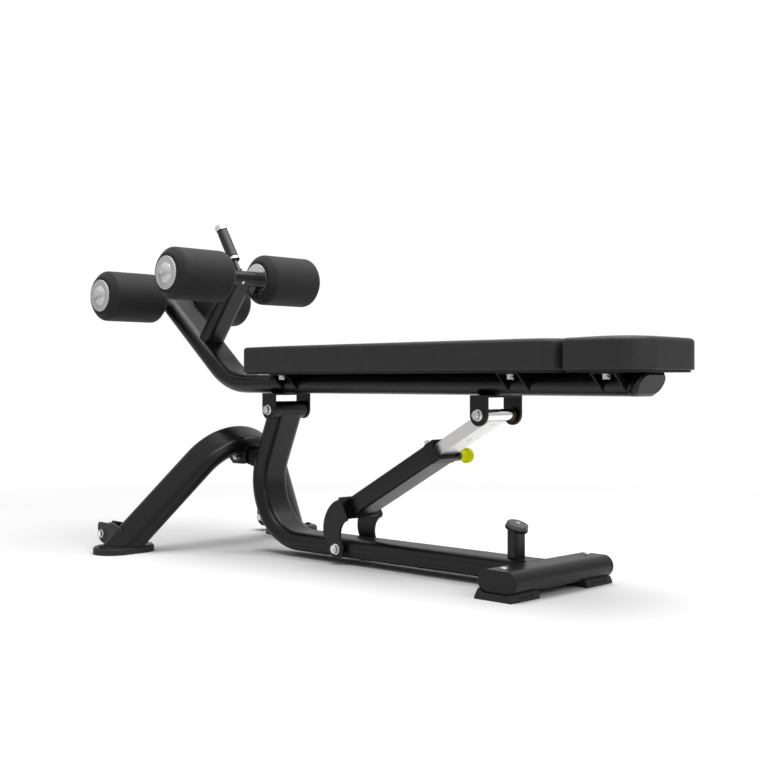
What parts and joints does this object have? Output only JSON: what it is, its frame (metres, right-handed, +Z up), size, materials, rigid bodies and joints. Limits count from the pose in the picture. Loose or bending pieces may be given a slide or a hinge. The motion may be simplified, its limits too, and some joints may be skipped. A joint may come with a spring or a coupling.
{
  "type": "adjustable abdominal bench",
  "caption": "Adjustable decline bench with padded deck, foam leg-hold rollers, grab handle, telescopic lock strut and arched rear legs with transport wheels.",
  "frame": {"origin": "on the floor, below the centre of the overall bounding box", "axes": "+Z up, +X towards the head end of the bench, +Y to the user's left when lying on the bench facing up with the feet under the rollers"},
  "size_m": [1.7, 0.751, 0.8807],
  "materials": {
    "frame_black": "satin powder coat",
    "bright_steel": "bright zinc",
    "black_plastic": "matte",
    "black_rubber": "matte",
    "grey_plastic": "satin",
    "bronze_bush": "satin",
    "chrome": "polished",
    "silver_disc": "satin",
    "upholstery": "matte black leatherette",
    "pad_board": "black underside board",
    "foam": "closed-cell foam",
    "knob_yellow": "gloss"
  },
  "bodies": {
    "base": {"base_tube": "frame_black", "post_stub": "frame_black", "pivot_sleeve": "frame_black", "pivot_bushes": "black_plastic", "front_crossbeam": "frame_black", "crossbeam_end_caps": "black_plastic", "front_feet": "black_rubber", "front_foot_screws": "bright_steel", "stop_post": "frame_black", "stop_post_cap": "grey_plastic", "stop_cap_screw": "bright_steel", "rear_leg_arch": "frame_black", "rear_foot_plates": "frame_black", "rear_foot_pads": "black_rubber", "rear_foot_screws": "bright_steel", "leg_bracket": "frame_black", "leg_bracket_bolt": "bright_steel", "wheel_brackets": "frame_black", "wheel_axle_bolts": "bright_steel"},
    "wheel_right": {"wheel_right": "black_rubber"},
    "wheel_left": {"wheel_left": "black_rubber"},
    "bench": {"bench_beam": "frame_black", "beam_end_cap": "black_plastic", "hinge_bracket": "frame_black", "strut_bracket": "frame_black", "hinge_bolt": "bright_steel", "strut_bolt": "bright_steel", "roller_mast": "frame_black", "upper_cross_tube": "frame_black", "lower_cross_tube": "frame_black", "upper_roller_axle": "chrome", "lower_roller_axle": "chrome", "axle_set_screws": "bright_steel", "roller_end_caps": "silver_disc", "roller_cap_screws": "bright_steel", "roller_inner_discs": "silver_disc", "handle_rod": "chrome", "handle_grip": "black_rubber", "handle_caps": "chrome", "pad_supports": "frame_black", "main_pad_board": "pad_board", "main_pad": "upholstery", "head_pad_board": "pad_board", "head_pad": "upholstery", "pad_bolts": "bright_steel"},
    "roller_upper_right": {"roller_upper_right": "foam"},
    "roller_upper_left": {"roller_upper_left": "foam"},
    "roller_lower_right": {"roller_lower_right": "foam"},
    "roller_lower_left": {"roller_lower_left": "foam"},
    "strut_inner": {"adjustment_bar": "chrome", "strut_sleeve": "chrome", "strut_bushes": "bronze_bush"},
    "strut_outer": {"strut_tube": "frame_black", "strut_liner": "black_plastic", "strut_yoke": "frame_black", "yoke_bolt": "bright_steel", "pop_pin_barrel": "chrome", "strut_clamp_screw": "bright_steel"},
    "pop_pin": {"pop_pin_knob": "knob_yellow", "pop_pin_plunger": "bright_steel"}
  },
  "joints": [
    {"name": "bench_tilt", "type": "hinge", "parent": "base", "child": "bench", "pos_m": [-0.2915, 0, 0.372], "axis": [0, 1, 0], "range_deg": [0, 19.6]},
    {"name": "strut_swing", "type": "hinge", "parent": "bench", "child": "strut_inner", "pos_m": [0.406, 0, 0.3715], "axis": [0, 1, 0], "range_deg": [0, 6.17]},
    {"name": "strut_slide", "type": "slide", "parent": "strut_inner", "child": "strut_outer", "axis": [0.8763, 0, 0.4818], "range_m": [0, 0.14167]},
    {"name": "pop_pin_pull", "type": "slide", "parent": "strut_outer", "child": "pop_pin", "axis": [0, 1, 0], "range_m": [0, 0.012]},
    {"name": "roller_upper_right_spin", "type": "hinge", "parent": "bench", "child": "roller_upper_right", "pos_m": [-0.4785, 0, 0.7245], "axis": [0, 1, 0], "continuous": true},
    {"name": "roller_upper_left_spin", "type": "hinge", "parent": "bench", "child": "roller_upper_left", "pos_m": [-0.4785, 0, 0.7245], "axis": [0, 1, 0], "continuous": true},
    {"name": "roller_lower_right_spin", "type": "hinge", "parent": "bench", "child": "roller_lower_right", "pos_m": [-0.7815, 0, 0.68], "axis": [0, 1, 0], "continuous": true},
    {"name": "roller_lower_left_spin", "type": "hinge", "parent": "bench", "child": "roller_lower_left", "pos_m": [-0.7815, 0, 0.68], "axis": [0, 1, 0], "continuous": true},
    {"name": "wheel_right_spin", "type": "hinge", "parent": "base", "child": "wheel_right", "pos_m": [-0.6935, -0.276, 0.041], "axis": [0, 1, 0], "continuous": true},
    {"name": "wheel_left_spin", "type": "hinge", "parent": "base", "child": "wheel_left", "pos_m": [-0.6935, 0.276, 0.041], "axis": [0, 1, 0], "continuous": true}
  ],
  "couplings": [
    {"joint": "strut_swing", "follows": "bench_tilt", "ratio": 0.31251},
    {"joint": "strut_slide", "follows": "bench_tilt", "m_per_rad": 0.41268}
  ]
}
